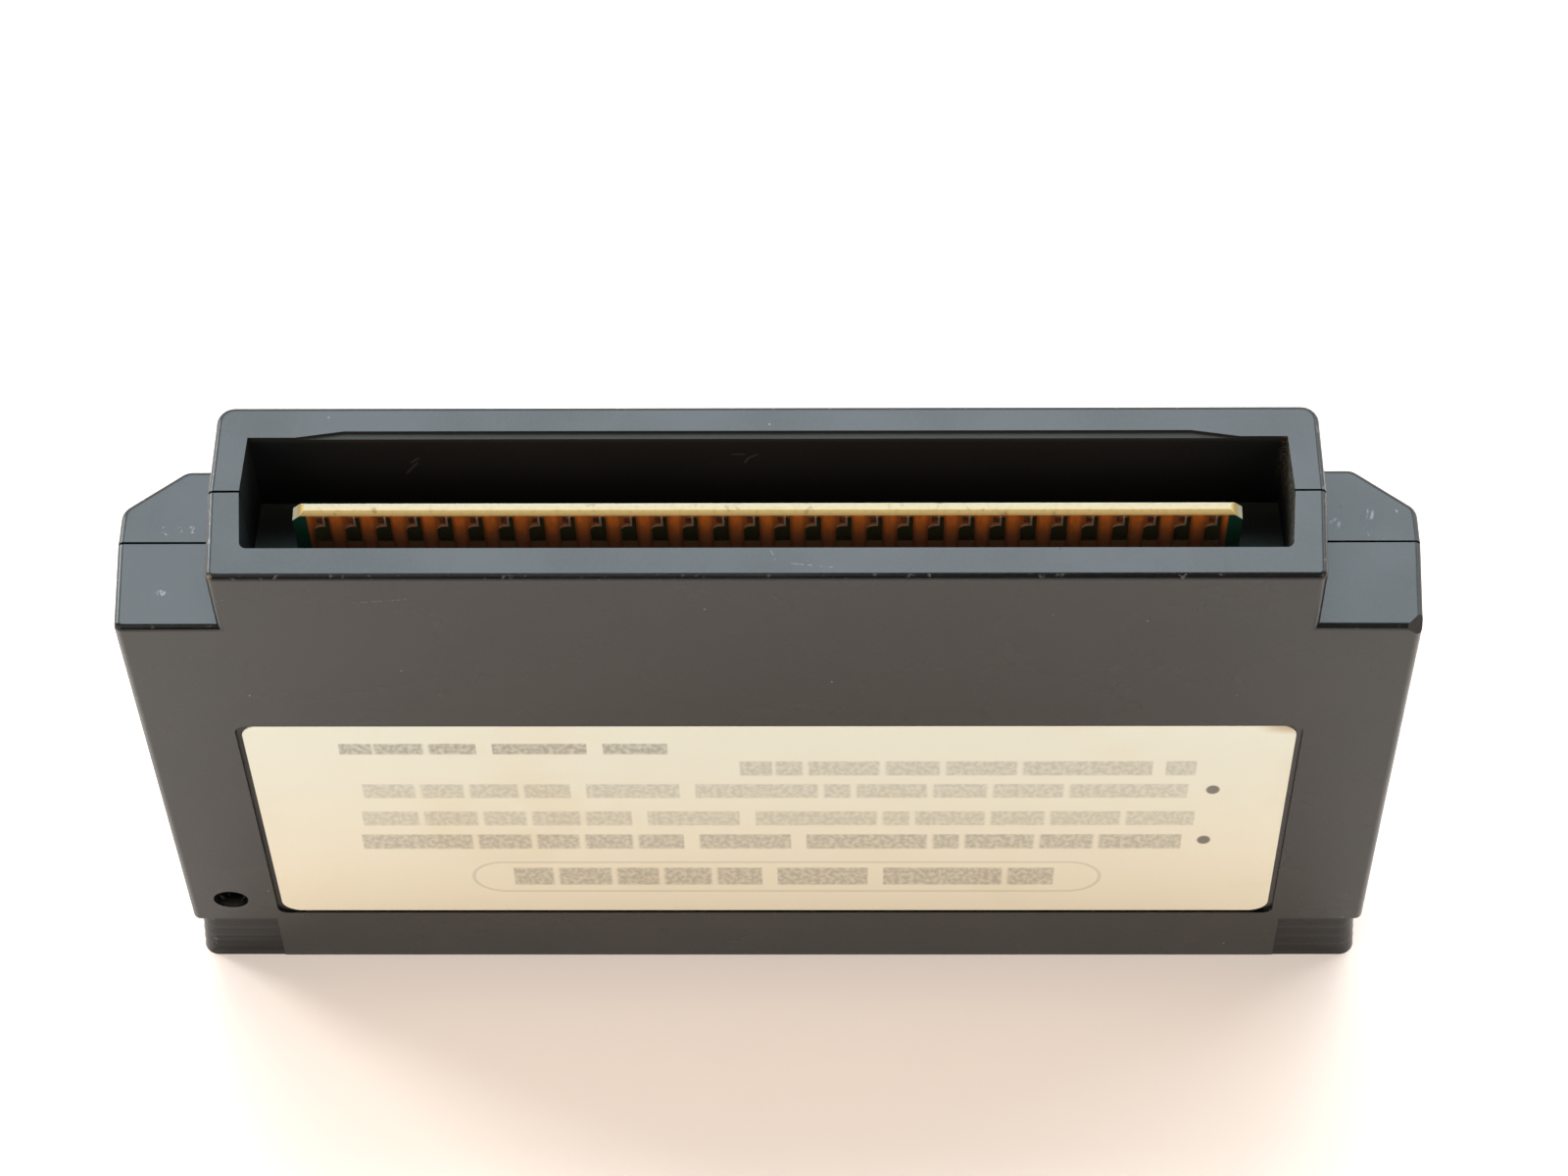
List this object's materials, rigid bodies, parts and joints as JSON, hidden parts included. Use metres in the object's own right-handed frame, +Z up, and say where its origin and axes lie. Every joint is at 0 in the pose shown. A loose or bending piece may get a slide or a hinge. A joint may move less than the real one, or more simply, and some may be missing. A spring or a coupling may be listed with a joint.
{
  "type": "game cartridge",
  "caption": "Flat plug-in game cartridge: two snapped plastic halves with a narrow open neck round a printed board's plated edge connector, and a paper label on its rear.",
  "frame": {"origin": "on the surface it stands on, under the middle of the case", "axes": "+Z up towards the edge connector, +X across the width to the right as the label side is seen, +Y from the label side to the front"},
  "size_m": [0.1088, 0.0166, 0.07],
  "materials": {
    "case_plastic": "black moulded plastic with a soft sheen and rubbed edges",
    "label_paper": "aged cream paper sticker, satin coated",
    "board_laminate": "brown resin-paper laminate with a green mask and a pale cut edge",
    "contact_plating": "worn gold plating",
    "package_resin": "moulded black epoxy",
    "tinned_leads": "tin plated",
    "capacitor_ceramic": "dipped brown coating"
  },
  "bodies": {
    "root": {"rear_shell": "case_plastic", "front_shell": "case_plastic", "rear_label": "label_paper", "circuit_board": "board_laminate", "rear_contacts": "contact_plating", "front_contacts": "contact_plating", "program_rom": "package_resin", "program_rom_leads": "tinned_leads", "program_capacitor": "capacitor_ceramic", "program_capacitor_leads": "tinned_leads", "character_rom": "package_resin", "character_rom_leads": "tinned_leads", "character_capacitor": "capacitor_ceramic", "character_capacitor_leads": "tinned_leads"}
  },
  "joints": []
}
